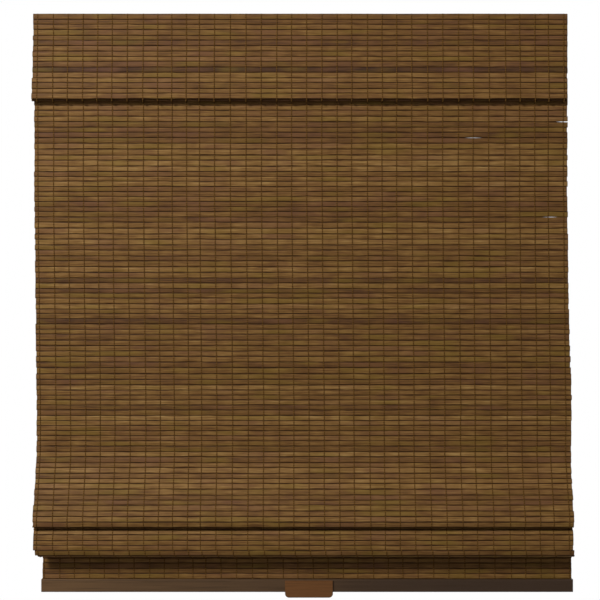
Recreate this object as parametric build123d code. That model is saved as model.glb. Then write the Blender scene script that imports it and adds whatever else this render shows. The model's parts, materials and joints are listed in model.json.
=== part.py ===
from build123d import *
import math
import os

# Bamboo roman shade, hung and let down as far as its last two folds.
# Units are mm. X runs across the shade, -Y is the room side, +Z is up.
# The origin is the centre of the four wall screw holes, in the wall plane y = 0.

os.makedirs("parts", exist_ok=True)

# Driving dimensions: the woven mat
MAT_W = 914.0
SLAT_PITCH = 9.0
SLAT_T = 2.4
SLAT_GAP = 0.5
SLAT_BEVEL = 0.9
SLAT_EDGE_T = 0.8
WEB_T = SLAT_EDGE_T
MAT_TOP_Z = 18.0
DRIFT_FOLDS = 4.0
DRIFT_LOWER = 10.8
LOWER_W = 907.0
DRIFT_START = 300.0
DRIFT_END = 75.0
THREAD_PITCH = 25.9
FOLD_TOP = 735.0
FOLD_EASE = 11.0
VALANCE_H = 147.0

# Driving dimensions: the headrail channel
CHANNEL_INSET = 4.0
CHANNEL_D = 38.0
CHANNEL_BOTTOM_Z = -18.0
CHANNEL_TOP_Z = 16.0
CHANNEL_T = 1.2
CHANNEL_LIP = 4.0
CAP_T = 2.0
CAP_PLUG = 8.0
CAP_WALL = 2.0
CAP_FIT = 0.15
TAPE_T = 1.7
TAPE_H = 20.0
TAPE_FIT = 0.05

# Driving dimensions: wall brackets
BRACKET_INSET = 107.0
BRACKET_W = 30.0
BRACKET_T = 1.6
BRACKET_FIT = 0.2
BRACKET_ARM = 34.0
BRACKET_LIP_H = 7.0
SCREW_R = 2.25
SCREW_Z = 8.0

# Driving dimensions: lift cords, rings and their row depths down the mat
COLUMN_INSET = 127.0
CORD_R = 0.7
CORD_BACK = 7.5
RING_R = 4.4
RING_BORE_R = 3.2
RING_H = 1.8
RING_FOOT = (4.0, 7.0)
RING_FIT = 0.05
ROW_TOP = 165.0
ROW_COUNT = 3
ROW_DROPS = (6.0, 74.5, 136.0)

# Driving dimensions: lift shaft, spools and cradles
SPOOL_R = 10.0
SPOOL_FLANGE_R = 11.9
SPOOL_L = 14.0
FLANGE_T = 1.2
JOURNAL_R = 4.5
JOURNAL_L = 3.4
SHAFT_SIDE = 5.0
SHAFT_PROUD = 22.0
BORE_FIT = 0.1
JOURNAL_FIT = 0.15
CRADLE_WALL = 2.4
CRADLE_BASE = 2.0
CRADLE_FIT = 0.15
SPOOL_PLAY = 0.3
CORD_HOLE_R = 2.6
WOUND_W = 4.2

# Driving dimensions: spring motor
MOTOR_L = 30.0
MOTOR_WALL = 1.6
DRUM_L = 15.0
DRUM_OUT_R = 6.6
DRUM_STORE_R = 3.6
SPRING_WOUND_OUT = 1.6
SPRING_WOUND_STORE = 1.4
SPRING_T = 0.3
SPRING_W = 12.0
STORE_PIN_R = 1.5
STORE_Y = -10.6
DRUM_FLANGE_T = 1.0
DRUM_FIT = 0.2

# Driving dimensions: bottom rail and lift tab
RAIL_PROUD = 2.0
RAIL_DROP = 234.0
RAIL_H = 22.0
RAIL_AHEAD = 3.0
RAIL_BEHIND = 10.5
RAIL_ROUND = 2.0
RAIL_SLOT_D = 9.5
SLOT_FIT = 0.1
SLOT_END_FIT = 0.9
KNOT_R = 1.9
KNOT_POCKET_R = 2.4
KNOT_POCKET_D = 9.0
CORD_FIT = 0.3
TAB_W = 82.0
TAB_DROP = 2.0
TAB_H = 29.0
TAB_T = 3.0
TAB_X = 14.0
TAB_CORNER = 7.0
TAB_LIP = 5.0
TAB_SCREW_X = 24.0
TAB_SCREW_R = 1.6
TAB_HEAD_R = 3.0

# Facets round hidden turned pieces, bores and cords
WHEEL_SIDES = 16
SMALL_SIDES = 10
RING_SIDES = 8
CORD_SIDES = 8

# Derived places across the shade
CHANNEL_L = MAT_W - 2 * CHANNEL_INSET
BRACKET_X = MAT_W / 2 - BRACKET_INSET
COLUMN_X = (COLUMN_INSET - MAT_W / 2, 0.0, MAT_W / 2 - COLUMN_INSET)
SHAFT_X0 = COLUMN_X[0] - SHAFT_PROUD
SHAFT_X1 = COLUMN_X[2] + SHAFT_PROUD
MOTOR_X = COLUMN_X[0] / 2
RAIL_L = LOWER_W + 2 * RAIL_PROUD

# Derived depths down the mat
RAIL_TOP_DEPTH = FOLD_TOP + RAIL_DROP
TAB_TOP_DEPTH = RAIL_TOP_DEPTH + TAB_DROP
ROW_PITCH = (FOLD_TOP + ROW_DROPS[0] - ROW_TOP) / ROW_COUNT
ROW_DEPTHS = [ROW_TOP + ROW_PITCH * i for i in range(ROW_COUNT)] + [FOLD_TOP + d for d in ROW_DROPS]

# Derived planes
CHANNEL_BACK_Y = -(BRACKET_T + BRACKET_FIT)
CHANNEL_FRONT_Y = CHANNEL_BACK_Y - CHANNEL_D
MAT_BACK_Y = CHANNEL_FRONT_Y - TAPE_T - 2 * TAPE_FIT
FRONT_Y = MAT_BACK_Y - SLAT_T
CORD_Y = FRONT_Y + CORD_BACK
SHAFT_Y = CORD_Y + SPOOL_R + CORD_R
RAIL_TOP_Z = MAT_TOP_Z - RAIL_TOP_DEPTH
RAIL_BOTTOM_Z = RAIL_TOP_Z - RAIL_H
RAIL_FRONT_Y = FRONT_Y - RAIL_AHEAD
RAIL_BACK_Y = FRONT_Y + RAIL_BEHIND

# Folds as (ahead of the front plane, depth below the first fold's top) pairs
HALF_T = SLAT_T / 2
FOLD_1 = [(1.5, 30.2), (8.5, 51.2), (20, 81.9), (32, 113.5), (37.6, 127.9), (37.2, 134.2),
          (32.5, 138), (27.4, 135.9), (24, 128.8), (14, 104.9), (5.0, 82.9), (3.4, 68.5)]
FOLD_2 = [(-HALF_T, 68.5), (0.2, 81.2), (10.4, 107.4), (20.6, 133.7), (25.2, 142.9),
          (30.4, 149.9), (33.2, 157.1), (33.9, 165.8), (33.8, 175.6), (32.6, 182.4),
          (28.4, 187.6), (22, 189), (16.6, 185.3), (10, 168.7), (4.4, 145.4), (3.4, 124.9)]
PANEL_TOP = 124.9

# Mat centre line as (ahead of the front plane, depth below the top) pairs
UPPER_RUN = [(-HALF_T, 0.6), (-HALF_T, FOLD_TOP / 2), (-HALF_T, FOLD_TOP),
             (-HALF_T, FOLD_TOP + FOLD_EASE)] + [(f, FOLD_TOP + d) for f, d in FOLD_1]
MIDDLE_RUN = [(f, FOLD_TOP + d) for f, d in FOLD_2]
LOWER_RUN = [(-HALF_T, FOLD_TOP + PANEL_TOP), (-HALF_T, RAIL_TOP_DEPTH - FOLD_EASE),
             (-HALF_T, RAIL_TOP_DEPTH + RAIL_SLOT_D - SLOT_END_FIT)]
VALANCE_RUN = [(1.4, 0), (1.4, 16), (3.2, 50), (6.6, 90), (10.4, VALANCE_H - 18), (12.4, VALANCE_H)]
VALANCE_HEM = [(8.2, VALANCE_H + 1), (6.8, VALANCE_H - 10), (5.4, VALANCE_H - 26)]

# Slits of daylight between slats, as (slat joint, thread bay) pairs
SLITS = [(12, 31), (14, 26), (14, 27), (24, 30), (26, 15), (31, 6), (33, 22), (38, 11),
         (41, 28), (44, 3), (47, 18), (52, 25), (55, 9), (58, 32), (61, 14), (64, 20),
         (67, 5), (70, 29), (73, 12), (76, 24), (19, 8), (21, 17), (36, 33), (49, 2)]


def slab(x0, x1, y0, y1, z0, z1):
    """Axis aligned block between two corners."""
    size = (abs(x1 - x0), abs(y1 - y0), abs(z1 - z0))
    return Pos((x0 + x1) / 2, (y0 + y1) / 2, (z0 + z1) / 2) * Box(*size)


def rod(radius, length, sides=0):
    """Bar along Z centred on the origin, round or with that many flats."""
    if sides:
        return extrude(RegularPolygon(radius, sides), amount=length / 2, both=True)
    return Cylinder(radius, length)


def rod_x(radius, x0, x1, y, z, sides=WHEEL_SIDES):
    """Bar along X."""
    return Pos((x0 + x1) / 2, y, z) * Rot(0, 90, 0) * rod(radius, abs(x1 - x0), sides)


def rod_y(radius, x, y0, y1, z, sides=SMALL_SIDES):
    """Bar along Y."""
    return Pos(x, (y0 + y1) / 2, z) * Rot(90, 0, 0) * rod(radius, abs(y1 - y0), sides)


def rod_z(radius, x, y, z0, z1, sides=SMALL_SIDES):
    """Bar along Z."""
    return Pos(x, y, (z0 + z1) / 2) * rod(radius, abs(z1 - z0), sides)


def around(radius):
    """Bore radius whose flats just clear a turning bar of that radius."""
    return radius / math.cos(math.pi / WHEEL_SIDES)


def smooth(points, steps=24):
    """Dense curve through the points, with even tangents at every point."""
    out = []
    for i in range(len(points) - 1):
        a = points[max(i - 1, 0)]
        b = points[i]
        c = points[i + 1]
        d = points[min(i + 2, len(points) - 1)]
        span = math.dist(b, c)
        before = max(math.dist(a, b), 1e-6)
        after = max(math.dist(c, d), 1e-6)
        mb = [0.0, 0.0]
        mc = [0.0, 0.0]
        for k in range(2):
            chord = (c[k] - b[k]) / span
            back = (b[k] - a[k]) / before if i else chord
            ahead = (d[k] - c[k]) / after if i < len(points) - 2 else chord
            mb[k] = (back * span + chord * before) / (span + before) if i else chord
            mc[k] = (chord * after + ahead * span) / (after + span)
        for j in range(steps):
            t = j / steps
            h0 = 2 * t**3 - 3 * t**2 + 1
            h1 = t**3 - 2 * t**2 + t
            h2 = -2 * t**3 + 3 * t**2
            h3 = t**3 - t**2
            out.append(tuple(h0 * b[k] + h1 * span * mb[k] + h2 * c[k] + h3 * span * mc[k]
                             for k in range(2)))
    out.append(tuple(points[-1]))
    return out


def slat_joints(points):
    """Points along the curve one slat pitch apart, and the path length at each."""
    curve = smooth(points)
    lengths = [0.0]
    for a, b in zip(curve, curve[1:]):
        lengths.append(lengths[-1] + math.dist(a, b))
    count = round(lengths[-1] / SLAT_PITCH)
    out = []
    k = 0
    for i in range(count + 1):
        goal = lengths[-1] * i / count
        while k < len(lengths) - 2 and lengths[k + 1] < goal:
            k += 1
        share = (goal - lengths[k]) / (lengths[k + 1] - lengths[k])
        out.append(tuple(curve[k][m] + share * (curve[k + 1][m] - curve[k][m]) for m in range(2)))
    return out


def to_yz(point):
    """Turn an (ahead, depth) pair into a point of the YZ plane."""
    return (0, FRONT_Y - point[0], MAT_TOP_Z - point[1])


def prism(points, x0, x1):
    """Prism along X over a polygon given as (ahead, depth) pairs."""
    face = make_face(Polyline(*[to_yz(p) for p in points], close=True))
    solid = extrude(face, amount=x1 - x0, dir=(1, 0, 0))
    return Pos(x0, 0, 0) * solid


def along(a, b):
    """Unit vectors along and across the chord from a to b."""
    size = math.dist(a, b)
    u = ((b[0] - a[0]) / size, (b[1] - a[1]) / size)
    return u, (u[1], -u[0]), size


def slat(a, b, x0, x1):
    """One split bamboo slat with eased edges."""
    u, n, size = along(a, b)
    edge = SLAT_GAP / 2
    crown = edge + SLAT_BEVEL
    marks = [(edge, SLAT_EDGE_T / 2), (crown, HALF_T), (size - crown, HALF_T),
             (size - edge, SLAT_EDGE_T / 2)]
    ring = marks + [(s, -h) for s, h in reversed(marks)]
    return prism([(a[0] + u[0] * s + n[0] * h, a[1] + u[1] * s + n[1] * h) for s, h in ring], x0, x1)


def ribbon(points, thick, x0, x1):
    """Thin strip of woven thread along a few points."""
    left = []
    right = []
    for i, p in enumerate(points):
        a = points[max(i - 1, 0)]
        b = points[min(i + 1, len(points) - 1)]
        n = along(a, b)[1]
        left.append((p[0] + n[0] * thick / 2, p[1] + n[1] * thick / 2))
        right.append((p[0] - n[0] * thick / 2, p[1] - n[1] * thick / 2))
    return prism(left + right[::-1], x0, x1)


def web(a, p, b, x0, x1):
    """Thread web over the joint p of two slats."""
    reach = SLAT_GAP / 2 + SLAT_BEVEL / 2
    u0 = along(a, p)[0]
    u1 = along(p, b)[0]
    start = (p[0] - u0[0] * reach, p[1] - u0[1] * reach)
    end = (p[0] + u1[0] * reach, p[1] + u1[1] * reach)
    bent = abs(u0[0] * u1[1] - u0[1] * u1[0]) > 0.02
    return ribbon([start, p, end] if bent else [start, end], WEB_T, x0, x1)


def hairpin(a, b, x0, x1, over):
    """Tight turn of thread web from a to b; over is +1 at the top, -1 at the bottom."""
    mid = ((a[0] + b[0]) / 2, (a[1] + b[1]) / 2)
    radius = math.dist(a, b) / 2
    start = math.atan2(a[1] - mid[1], a[0] - mid[0])
    points = [(a[0], a[1] + over * SLAT_BEVEL)]
    for i in range(9):
        turn = start - over * math.pi * i / 8
        points.append((mid[0] + radius * math.cos(turn), mid[1] + radius * math.sin(turn)))
    points.append((b[0], b[1] + over * SLAT_BEVEL))
    return ribbon(points, WEB_T, x0, x1)


def sheet_run(joints, sides, slits=()):
    """Slats and webs over a list of joints; sides(i) gives the two slat ends."""
    pieces = []
    for i in range(len(joints) - 1):
        x0, x1 = sides(i)
        pieces.append(slat(joints[i], joints[i + 1], x0, x1))
    for i in range(1, len(joints) - 1):
        a, p, b = joints[i - 1:i + 2]
        x0 = max(sides(i - 1)[0], sides(i)[0])
        x1 = min(sides(i - 1)[1], sides(i)[1])
        starts = [x0]
        ends = []
        for bay in sorted(bay for joint, bay in slits if joint == i):
            left = -MAT_W / 2 + bay * THREAD_PITCH
            ends.append(left)
            starts.append(left + THREAD_PITCH - 2)
        ends.append(x1)
        for start, end in zip(starts, ends):
            pieces.append(web(a, p, b, start, end))
    return pieces


def fuse_all(pieces):
    """Join a list of solids into one."""
    return pieces[0].fuse(*pieces[1:])


def ragged(i, scale):
    """Offset of the few slats whose ends stand proud of or short of the rest."""
    return scale * (((i * 37) % 11) / 5.0 - 1.0) if i % 5 == 0 else 0.0


def make_mat():
    """The whole front mat: flat part, two folds and the lower panel, as one sheet."""
    upper = slat_joints(UPPER_RUN)
    middle = slat_joints(MIDDLE_RUN)
    lower = slat_joints(LOWER_RUN)

    def upper_sides(i):
        depth = i * SLAT_PITCH
        drift = DRIFT_FOLDS * min(max((depth - DRIFT_START) / (FOLD_TOP - DRIFT_END - DRIFT_START), 0), 1)
        return (-MAT_W / 2 + drift - ragged(i, 1.2), MAT_W / 2 + drift + ragged(i + 3, 1.2))

    def middle_sides(i):
        share = min(max((i - 13) / 5, 0), 1)
        drift = DRIFT_FOLDS + share * (DRIFT_LOWER - DRIFT_FOLDS)
        half = (MAT_W + share * (LOWER_W - MAT_W)) / 2
        return (-half + drift - ragged(i, 1.2), half + drift + ragged(i + 3, 1.2))

    def lower_sides(i):
        return (-LOWER_W / 2 + DRIFT_LOWER - ragged(i, 1.2), LOWER_W / 2 + DRIFT_LOWER + ragged(i, 1.2))

    pieces = sheet_run(upper, upper_sides, SLITS)
    pieces += sheet_run(middle, middle_sides)
    pieces += sheet_run(lower, lower_sides)
    inset = MAT_W / 2 - 4
    pieces.append(hairpin(upper[-1], middle[0], -inset + DRIFT_FOLDS, inset + DRIFT_FOLDS, 1))
    inset = LOWER_W / 2 - 2
    pieces.append(hairpin(middle[-1], lower[0], -inset + DRIFT_LOWER, inset + DRIFT_LOWER, 1))
    return fuse_all(pieces)


def make_valance():
    """Short mat ahead of the headrail with its lower end folded back as a hem."""
    front = slat_joints(VALANCE_RUN)
    hem = slat_joints(VALANCE_HEM)

    def sides(i):
        return (-MAT_W / 2 - ragged(i + 5, 0.8), MAT_W / 2 + ragged(i, 0.8))

    pieces = sheet_run(front, sides)
    pieces += sheet_run(hem, sides)
    inset = MAT_W / 2 - 2
    pieces.append(hairpin(front[-1], hem[0], -inset, inset, -1))
    return fuse_all(pieces)


def make_channel():
    """Open topped channel with inward lips, cord holes in its floor."""
    half = CHANNEL_L / 2
    back = CHANNEL_BACK_Y
    front = CHANNEL_FRONT_Y
    body = slab(-half, half, back, front, CHANNEL_BOTTOM_Z, CHANNEL_TOP_Z)
    body -= slab(-half - 1, half + 1, back - CHANNEL_T, front + CHANNEL_T,
                 CHANNEL_BOTTOM_Z + CHANNEL_T, CHANNEL_TOP_Z - CHANNEL_T)
    body -= slab(-half - 1, half + 1, back - CHANNEL_LIP, front + CHANNEL_LIP,
                 CHANNEL_TOP_Z - 2 * CHANNEL_T, CHANNEL_TOP_Z + 1)
    for x in COLUMN_X:
        body -= rod_z(CORD_HOLE_R, x, CORD_Y, CHANNEL_BOTTOM_Z - 1, CHANNEL_BOTTOM_Z + CHANNEL_T + 1)
    return body


def make_cap(side):
    """End cap: outer plate with a hollow plug inside the channel."""
    x0 = side * CHANNEL_L / 2
    plate = slab(x0, x0 + side * CAP_T, CHANNEL_BACK_Y, CHANNEL_FRONT_Y, CHANNEL_BOTTOM_Z, CHANNEL_TOP_Z)
    inset = CHANNEL_T + CAP_FIT
    z0 = CHANNEL_BOTTOM_Z + inset
    z1 = CHANNEL_TOP_Z - inset
    plug = slab(x0, x0 - side * CAP_PLUG, CHANNEL_BACK_Y - inset, CHANNEL_FRONT_Y + inset, z0, z1)
    plug -= slab(x0, x0 - side * (CAP_PLUG + 1), CHANNEL_BACK_Y - inset - CAP_WALL,
                 CHANNEL_FRONT_Y + inset + CAP_WALL, z0 + CAP_WALL, z1 - CAP_WALL)
    return plate + plug


def make_tape():
    """Strip of hook tape that holds the mat on the channel front."""
    top = CHANNEL_TOP_Z - 5
    half = CHANNEL_L / 2 - 3
    return slab(-half, half, CHANNEL_FRONT_Y - TAPE_FIT, CHANNEL_FRONT_Y - TAPE_FIT - TAPE_T,
                top - TAPE_H, top)


def make_bracket(x):
    """Wall bracket: back plate with two screw holes, lower shelf and upper hook."""
    x0 = x - BRACKET_W / 2
    x1 = x + BRACKET_W / 2
    floor = CHANNEL_BOTTOM_Z - BRACKET_FIT
    roof = CHANNEL_TOP_Z + BRACKET_FIT
    body = slab(x0, x1, 0, -BRACKET_T, floor - BRACKET_T, roof + BRACKET_T)
    body += slab(x0, x1, 0, -BRACKET_ARM, floor - BRACKET_T, floor)
    hook_y = CHANNEL_BACK_Y - CHANNEL_LIP - BRACKET_FIT
    body += slab(x0, x1, 0, hook_y - BRACKET_T, roof, roof + BRACKET_T)
    body += slab(x0, x1, hook_y, hook_y - BRACKET_T, roof - BRACKET_LIP_H, roof + BRACKET_T)
    for z in (-SCREW_Z, SCREW_Z):
        body -= rod_y(SCREW_R, x, 1, -BRACKET_T - 1, z, 0)
    return body


def make_cradle(x):
    """Spool cradle: base plate on the channel floor and two bearing cheeks."""
    inner = SPOOL_L / 2 + SPOOL_PLAY
    outer = inner + CRADLE_WALL
    y0 = CHANNEL_BACK_Y - CHANNEL_T - CRADLE_FIT
    y1 = CHANNEL_FRONT_Y + CHANNEL_T + CRADLE_FIT
    z0 = CHANNEL_BOTTOM_Z + CHANNEL_T + 0.05
    body = slab(x - outer, x + outer, y0, y1, z0, z0 + CRADLE_BASE)
    for side in (-1, 1):
        body += slab(x + side * inner, x + side * outer, y0, y1, z0, JOURNAL_R + 4)
    body -= rod_x(around(JOURNAL_R) + JOURNAL_FIT, x - outer - 1, x + outer + 1, SHAFT_Y, 0)
    body -= rod_z(CORD_HOLE_R - 0.6, x, CORD_Y, z0 - 1, z0 + CRADLE_BASE + 1)
    return body


def make_spool(x):
    """Cord spool with flanges and journals, square bore for the shaft."""
    half = SPOOL_L / 2
    body = rod_x(SPOOL_R, x - half, x + half, SHAFT_Y, 0)
    body += rod_x(SPOOL_FLANGE_R, x - half, x - half + FLANGE_T, SHAFT_Y, 0)
    body += rod_x(SPOOL_FLANGE_R, x + half - FLANGE_T, x + half, SHAFT_Y, 0)
    reach = half + JOURNAL_L
    body += rod_x(JOURNAL_R, x - reach, x + reach, SHAFT_Y, 0)
    bore = SHAFT_SIDE / 2 + BORE_FIT
    body -= slab(x - reach - 1, x + reach + 1, SHAFT_Y - bore, SHAFT_Y + bore, -bore, bore)
    return body


def make_shaft():
    """Square lift shaft through all spools and the spring drum."""
    half = SHAFT_SIDE / 2
    return slab(SHAFT_X0, SHAFT_X1, SHAFT_Y - half, SHAFT_Y + half, -half, half)


def make_cord(x):
    """Lift cord: knot under the rail seat, straight run through the rings, turns on the spool."""
    knot_z = RAIL_BOTTOM_Z + KNOT_POCKET_D - KNOT_R - 0.1
    body = rod_z(CORD_R, x, CORD_Y, knot_z, 0, CORD_SIDES)
    body += rod_z(KNOT_R, x, CORD_Y, knot_z - KNOT_R, knot_z + KNOT_R)
    wound = rod_x(SPOOL_R + 2 * CORD_R, x - WOUND_W / 2, x + WOUND_W / 2, SHAFT_Y, 0)
    wound -= rod_x(around(SPOOL_R) + 0.02, x - WOUND_W, x + WOUND_W, SHAFT_Y, 0)
    return body + wound


def make_rings(depth):
    """Three cord rings of one row, each with a foot on the back of the mat."""
    rings = []
    z = MAT_TOP_Z - depth
    foot_y = MAT_BACK_Y + RING_FIT
    for x in COLUMN_X:
        ring = rod_z(RING_R, x, CORD_Y, z - RING_H / 2, z + RING_H / 2, RING_SIDES)
        ring += slab(x - RING_FOOT[0] / 2, x + RING_FOOT[0] / 2, foot_y, CORD_Y - RING_BORE_R - 0.4,
                     z - RING_FOOT[1] / 2, z + RING_FOOT[1] / 2)
        ring -= rod_z(RING_BORE_R, x, CORD_Y, z - 10, z + 10, RING_SIDES)
        rings.append(ring.solid())
    return Compound(children=rings)


def motor_box():
    """Outer limits of the spring motor case."""
    y0 = CHANNEL_BACK_Y - CHANNEL_T - CRADLE_FIT
    y1 = CHANNEL_FRONT_Y + CHANNEL_T + CRADLE_FIT
    z0 = CHANNEL_BOTTOM_Z + CHANNEL_T + 0.05
    return MOTOR_X - MOTOR_L / 2, MOTOR_X + MOTOR_L / 2, y0, y1, z0, 12.0


def make_motor_case():
    """Open case of the spring motor with the storage drum's pin."""
    x0, x1, y0, y1, z0, z1 = motor_box()
    body = slab(x0, x1, y0, y1, z0, z1)
    body -= slab(x0 + MOTOR_WALL, x1 - MOTOR_WALL, y0 - MOTOR_WALL, y1 + MOTOR_WALL, z0 + MOTOR_WALL, z1 + 1)
    body -= rod_x(around(JOURNAL_R) + JOURNAL_FIT, x0 - 1, x1 + 1, SHAFT_Y, 0)
    body += rod_x(STORE_PIN_R, x0 + 0.5, x1 - 0.5, STORE_Y, 0, SMALL_SIDES)
    return body


def make_motor_lid():
    """Lid over the spring motor case."""
    x0, x1, y0, y1, z0, z1 = motor_box()
    body = slab(x0, x1, y0, y1, z1 + 0.05, z1 + 0.05 + MOTOR_WALL)
    inset = MOTOR_WALL + 0.15
    body += slab(x0 + inset, x1 - inset, y0 - inset, y1 + inset, z1 - 1.2, z1 + 0.05)
    return body


def drum(radius, y, rim):
    """Spring drum with two thin flanges."""
    half = DRUM_L / 2
    body = rod_x(radius, MOTOR_X - half, MOTOR_X + half, y, 0)
    body += rod_x(rim, MOTOR_X - half, MOTOR_X - half + DRUM_FLANGE_T, y, 0)
    body += rod_x(rim, MOTOR_X + half - DRUM_FLANGE_T, MOTOR_X + half, y, 0)
    return body


def make_output_drum():
    """Drum on the lift shaft that the spring pulls round."""
    body = drum(DRUM_OUT_R, SHAFT_Y, DRUM_OUT_R + SPRING_WOUND_OUT + 0.6)
    reach = MOTOR_L / 2 + 1
    body += rod_x(JOURNAL_R, MOTOR_X - reach, MOTOR_X + reach, SHAFT_Y, 0)
    bore = SHAFT_SIDE / 2 + BORE_FIT
    body -= slab(MOTOR_X - reach - 1, MOTOR_X + reach + 1, SHAFT_Y - bore, SHAFT_Y + bore, -bore, bore)
    return body


def make_store_drum():
    """Storage drum on its own pin."""
    body = drum(DRUM_STORE_R, STORE_Y, DRUM_STORE_R + SPRING_WOUND_STORE + 0.5)
    body -= rod_x(STORE_PIN_R + DRUM_FIT, MOTOR_X - DRUM_L, MOTOR_X + DRUM_L, STORE_Y, 0, SMALL_SIDES)
    return body


def make_spring():
    """Flat spring wound round both drums with a straight run between them."""
    x0 = MOTOR_X - SPRING_W / 2
    x1 = MOTOR_X + SPRING_W / 2
    out_r = DRUM_OUT_R + SPRING_WOUND_OUT
    store_r = DRUM_STORE_R + SPRING_WOUND_STORE
    body = rod_x(out_r, x0, x1, SHAFT_Y, 0) - rod_x(around(DRUM_OUT_R) + 0.05, x0 - 1, x1 + 1, SHAFT_Y, 0)
    body += rod_x(store_r, x0, x1, STORE_Y, 0) - rod_x(around(DRUM_STORE_R) + 0.05, x0 - 1, x1 + 1, STORE_Y, 0)
    tilt = math.asin((out_r - store_r) / (STORE_Y - SHAFT_Y))
    mid = SPRING_T / 2
    start = (SHAFT_Y + (out_r - mid) * math.sin(tilt), (out_r - mid) * math.cos(tilt))
    end = (STORE_Y + (store_r - mid) * math.sin(tilt), (store_r - mid) * math.cos(tilt))
    size = math.dist(start, end)
    strip = Pos(MOTOR_X, (start[0] + end[0]) / 2, (start[1] + end[1]) / 2)
    strip = strip * Rot(-math.degrees(tilt), 0, 0) * Box(SPRING_W, size, SPRING_T)
    return body + strip


def make_rail():
    """Bottom rail with a slot for the mat, cord bores and knot pockets."""
    x0 = DRIFT_LOWER - RAIL_L / 2
    x1 = DRIFT_LOWER + RAIL_L / 2
    body = slab(x0, x1, RAIL_FRONT_Y, RAIL_BACK_Y, RAIL_BOTTOM_Z, RAIL_TOP_Z)
    body = fillet(body.edges().filter_by(Axis.X), RAIL_ROUND)
    half = HALF_T + SLOT_FIT
    middle = FRONT_Y + HALF_T
    body -= slab(x0 - 1, x1 + 1, middle - half, middle + half, RAIL_TOP_Z - RAIL_SLOT_D, RAIL_TOP_Z + 1)
    for x in COLUMN_X:
        body -= rod_z(CORD_R + CORD_FIT, x, CORD_Y, RAIL_BOTTOM_Z - 1, RAIL_TOP_Z + 1, CORD_SIDES)
        body -= rod_z(KNOT_POCKET_R, x, CORD_Y, RAIL_BOTTOM_Z - 1, RAIL_BOTTOM_Z + KNOT_POCKET_D)
    for side in (-1, 1):
        body -= rod_y(TAB_SCREW_R, TAB_X + side * TAB_SCREW_X, RAIL_FRONT_Y - 1, RAIL_BACK_Y + 1,
                      RAIL_BOTTOM_Z + 7)
    return body


def make_tab():
    """Finger tab on the rail front with rounded lower corners and a lip underneath."""
    top = MAT_TOP_Z - TAB_TOP_DEPTH
    low = top - TAB_H
    y0 = RAIL_FRONT_Y - 0.05
    y1 = y0 - TAB_T
    body = slab(TAB_X - TAB_W / 2, TAB_X + TAB_W / 2, y0, y1, low, top)
    body += slab(TAB_X - TAB_W / 2, TAB_X + TAB_W / 2, y0, y0 + TAB_LIP, low, low + 2.4)
    corners = body.edges().filter_by(Axis.Y).group_by(Axis.Z)[0]
    body = fillet(corners, TAB_CORNER)
    rim = body.faces().sort_by(Axis.Y)[0].edges()
    body = chamfer(rim, 0.7)
    for side in (-1, 1):
        body -= rod_y(TAB_SCREW_R - 0.5, TAB_X + side * TAB_SCREW_X, y0 + 1, y1 + 1, RAIL_BOTTOM_Z + 7)
    return body


def make_tab_screws():
    """Two screws from the back of the rail into the tab."""
    screws = []
    z = RAIL_BOTTOM_Z + 7
    for side in (-1, 1):
        x = TAB_X + side * TAB_SCREW_X
        head = rod_y(TAB_HEAD_R, x, RAIL_BACK_Y + 0.05, RAIL_BACK_Y + 1.85, z)
        shank = rod_y(TAB_SCREW_R - 0.5, x, RAIL_BACK_Y + 0.1, RAIL_FRONT_Y - 0.05 - TAB_T + 1, z)
        screws.append((head + shank).solid())
    return Compound(children=screws)


NODES = {
    "headrail_channel": make_channel(),
    "end_cap_left": make_cap(-1),
    "end_cap_right": make_cap(1),
    "mount_bracket_left": make_bracket(-BRACKET_X),
    "mount_bracket_right": make_bracket(BRACKET_X),
    "fixing_tape": make_tape(),
    "valance": make_valance(),
    "shade_mat": make_mat(),
    "lift_shaft": make_shaft(),
    "motor_case": make_motor_case(),
    "motor_lid": make_motor_lid(),
    "output_drum": make_output_drum(),
    "storage_drum": make_store_drum(),
    "motor_spring": make_spring(),
    "bottom_rail": make_rail(),
    "lift_tab": make_tab(),
    "tab_screws": make_tab_screws(),
}
for name, x in zip(("left", "middle", "right"), COLUMN_X):
    NODES["cradle_" + name] = make_cradle(x)
    NODES["cord_spool_" + name] = make_spool(x)
    NODES["lift_cord_" + name] = make_cord(x)
for i, depth in enumerate(ROW_DEPTHS):
    NODES["ring_row_" + str(i)] = make_rings(depth)

for name, shape in NODES.items():
    export_step(shape, "parts/" + name + ".step")
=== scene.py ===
import json
import logging
import math
import random
from collections.abc import Sequence
from dataclasses import dataclass, field
from enum import Enum

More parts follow.
